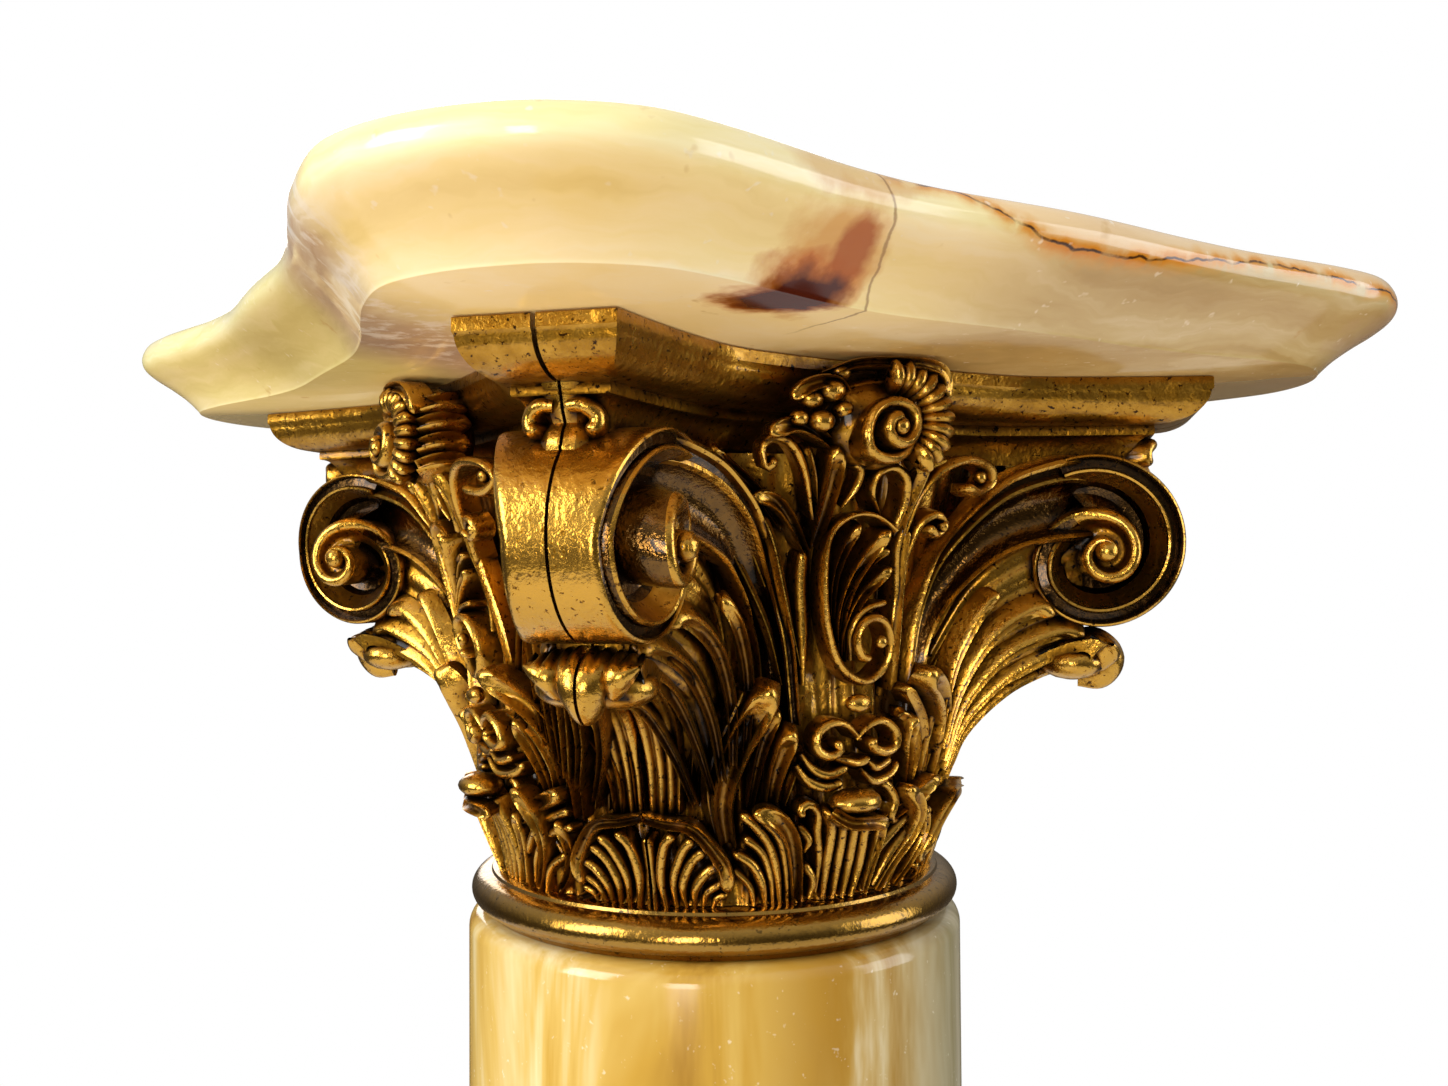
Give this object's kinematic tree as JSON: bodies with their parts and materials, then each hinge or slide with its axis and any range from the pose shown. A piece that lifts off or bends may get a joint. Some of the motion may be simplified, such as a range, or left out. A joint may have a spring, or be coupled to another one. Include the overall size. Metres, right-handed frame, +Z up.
{
  "type": "corinthian column",
  "caption": "Free-standing onyx pedestal column with a cast brass Corinthian capital, a scooped onyx top slab and a stepped square base.",
  "frame": {"origin": "centre of the square plinth's underside, on the column's axis", "axes": "+Z up the column; -Y is the front face and the capital's corners lie on the diagonals between the faces"},
  "size_m": [0.34, 0.34, 1.0425],
  "materials": {
    "top_onyx": "polished cream onyx with brown veins",
    "shaft_onyx": "polished honey onyx",
    "base_onyx": "polished honey onyx",
    "capital_brass": "gilt cast brass with dark patina in the hollows",
    "ring_brass": "turned brass, polished and aged"
  },
  "bodies": {
    "root": {"base_plinth": "base_onyx", "base_step": "base_onyx", "base_ring": "ring_brass", "shaft": "shaft_onyx", "neck_ring": "ring_brass", "capital_quarter_front": "capital_brass", "capital_quarter_right": "capital_brass", "capital_quarter_back": "capital_brass", "capital_quarter_left": "capital_brass", "top_slab": "top_onyx"}
  },
  "joints": []
}
